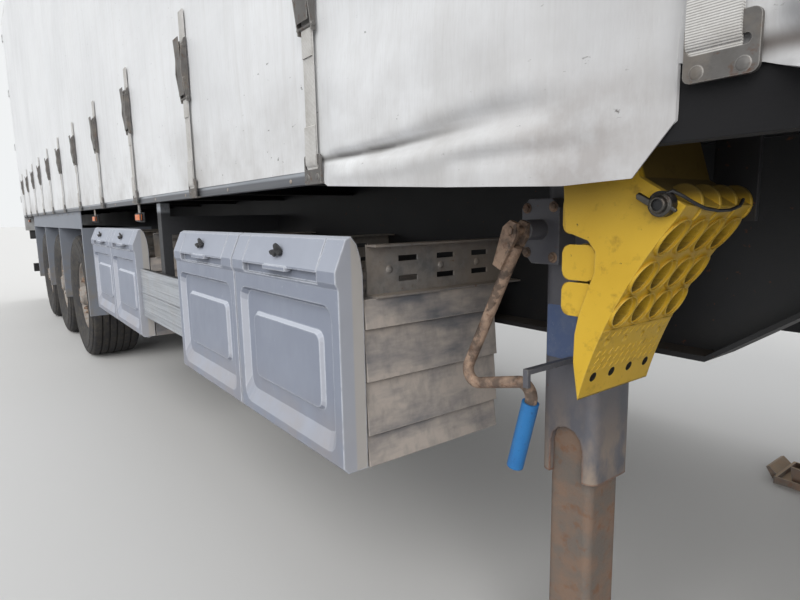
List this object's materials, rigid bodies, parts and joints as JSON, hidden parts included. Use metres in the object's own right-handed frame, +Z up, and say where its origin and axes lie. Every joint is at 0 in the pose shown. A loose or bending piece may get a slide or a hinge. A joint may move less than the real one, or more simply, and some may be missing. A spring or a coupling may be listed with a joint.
{
  "type": "semi trailer",
  "caption": "Curtain-sided semi trailer: flat deck on two main beams, triple single-tyre axles, landing legs, side toolboxes, strapped curtains and swinging rear doors.",
  "frame": {"origin": "on the ground under the middle of the trailer's bounding box", "axes": "+X forward to the kingpin end, +Y to the left side, +Z up"},
  "size_m": [13.69, 2.5972, 4],
  "materials": {
    "spring_rubber": "matt",
    "beam_paint": "satin",
    "galvanised": "dull",
    "pin_steel": "worn",
    "grip_plastic": "matt",
    "curtain_sheet": "coated cloth, dusty",
    "webbing": "woven",
    "deck_wood": "coated",
    "coupling_plastic": "satin",
    "body_paint": "satin",
    "leg_paint": "matt, rusty",
    "guard_plastic": "matt",
    "lamp_plastic": "clear",
    "rim_paint": "dusty",
    "alloy": "matt",
    "roof_plastic": "matt",
    "marker_plastic": "clear",
    "box_plastic": "matt",
    "tyre_rubber": "dusty",
    "chock_plastic": "matt"
  },
  "bodies": {
    "trailer": {"air_springs": "spring_rubber", "air_tanks": "beam_paint", "axles": "beam_paint", "box_channels": "galvanised", "chassis_beams": "beam_paint", "chock_holder": "galvanised", "coupler_plate": "pin_steel", "crank": "pin_steel", "crank_grip": "grip_plastic", "cross_members": "beam_paint", "curtain_left": "curtain_sheet", "curtain_right": "curtain_sheet", "curtain_straps": "webbing", "floor_deck": "deck_wood", "front_couplings": "coupling_plastic", "front_wall": "body_paint", "landing_feet": "leg_paint", "landing_legs": "leg_paint", "leg_cross_shaft": "pin_steel", "leg_slides": "pin_steel", "mudguard_left": "guard_plastic", "mudguard_right": "guard_plastic", "rear_frame": "body_paint", "rear_lamps": "lamp_plastic", "roof_frame": "alloy", "roof_sheet": "roof_plastic", "side_guard_left": "alloy", "side_guard_right": "alloy", "side_markers": "marker_plastic", "side_posts": "alloy", "side_raves": "body_paint", "suspension_hangers": "beam_paint", "toolboxes": "box_plastic", "trailing_arms": "beam_paint", "underrun_bar": "beam_paint", "wheel_chock": "chock_plastic"},
    "wheel_right_1": {"tyre_right_1": "tyre_rubber", "rim_right_1": "rim_paint"},
    "wheel_right_2": {"tyre_right_2": "tyre_rubber", "rim_right_2": "rim_paint"},
    "wheel_right_3": {"tyre_right_3": "tyre_rubber", "rim_right_3": "rim_paint"},
    "wheel_left_1": {"tyre_left_1": "tyre_rubber", "rim_left_1": "rim_paint"},
    "wheel_left_2": {"tyre_left_2": "tyre_rubber", "rim_left_2": "rim_paint"},
    "wheel_left_3": {"tyre_left_3": "tyre_rubber", "rim_left_3": "rim_paint"},
    "door_right": {"rear_door_right": "body_paint", "lock_rods_right": "galvanised"},
    "door_left": {"rear_door_left": "body_paint", "lock_rods_left": "galvanised"},
    "box_door_1": {"toolbox_door_1": "box_plastic"},
    "box_door_2": {"toolbox_door_2": "box_plastic"},
    "box_door_3": {"toolbox_door_3": "box_plastic"},
    "box_door_4": {"toolbox_door_4": "box_plastic"}
  },
  "joints": [
    {"name": "wheel_right_1_spin", "type": "hinge", "parent": "trailer", "child": "wheel_right_1", "pos_m": [-1.95, -1.02, 0.525], "axis": [0, 1, 0], "continuous": true},
    {"name": "wheel_right_2_spin", "type": "hinge", "parent": "trailer", "child": "wheel_right_2", "pos_m": [-3.26, -1.02, 0.525], "axis": [0, 1, 0], "continuous": true},
    {"name": "wheel_right_3_spin", "type": "hinge", "parent": "trailer", "child": "wheel_right_3", "pos_m": [-4.57, -1.02, 0.525], "axis": [0, 1, 0], "continuous": true},
    {"name": "wheel_left_1_spin", "type": "hinge", "parent": "trailer", "child": "wheel_left_1", "pos_m": [-1.95, 1.02, 0.525], "axis": [0, 1, 0], "continuous": true},
    {"name": "wheel_left_2_spin", "type": "hinge", "parent": "trailer", "child": "wheel_left_2", "pos_m": [-3.26, 1.02, 0.525], "axis": [0, 1, 0], "continuous": true},
    {"name": "wheel_left_3_spin", "type": "hinge", "parent": "trailer", "child": "wheel_left_3", "pos_m": [-4.57, 1.02, 0.525], "axis": [0, 1, 0], "continuous": true},
    {"name": "rear_door_right_hinge", "type": "hinge", "parent": "trailer", "child": "door_right", "pos_m": [-6.82, -1.262, 2.64], "axis": [0, 0, 1], "range_deg": [0, 262]},
    {"name": "rear_door_left_hinge", "type": "hinge", "parent": "trailer", "child": "door_left", "pos_m": [-6.82, 1.262, 2.64], "axis": [0, 0, -1], "range_deg": [0, 262]},
    {"name": "toolbox_door_1_hinge", "type": "hinge", "parent": "trailer", "child": "box_door_1", "pos_m": [2.203, -1.205, 0.563], "axis": [1, 0, 0], "range_deg": [0, 100]},
    {"name": "toolbox_door_2_hinge", "type": "hinge", "parent": "trailer", "child": "box_door_2", "pos_m": [1.577, -1.205, 0.563], "axis": [1, 0, 0], "range_deg": [0, 100]},
    {"name": "toolbox_door_3_hinge", "type": "hinge", "parent": "trailer", "child": "box_door_3", "pos_m": [0.233, -1.205, 0.563], "axis": [1, 0, 0], "range_deg": [0, 100]},
    {"name": "toolbox_door_4_hinge", "type": "hinge", "parent": "trailer", "child": "box_door_4", "pos_m": [-0.393, -1.205, 0.563], "axis": [1, 0, 0], "range_deg": [0, 100]}
  ]
}
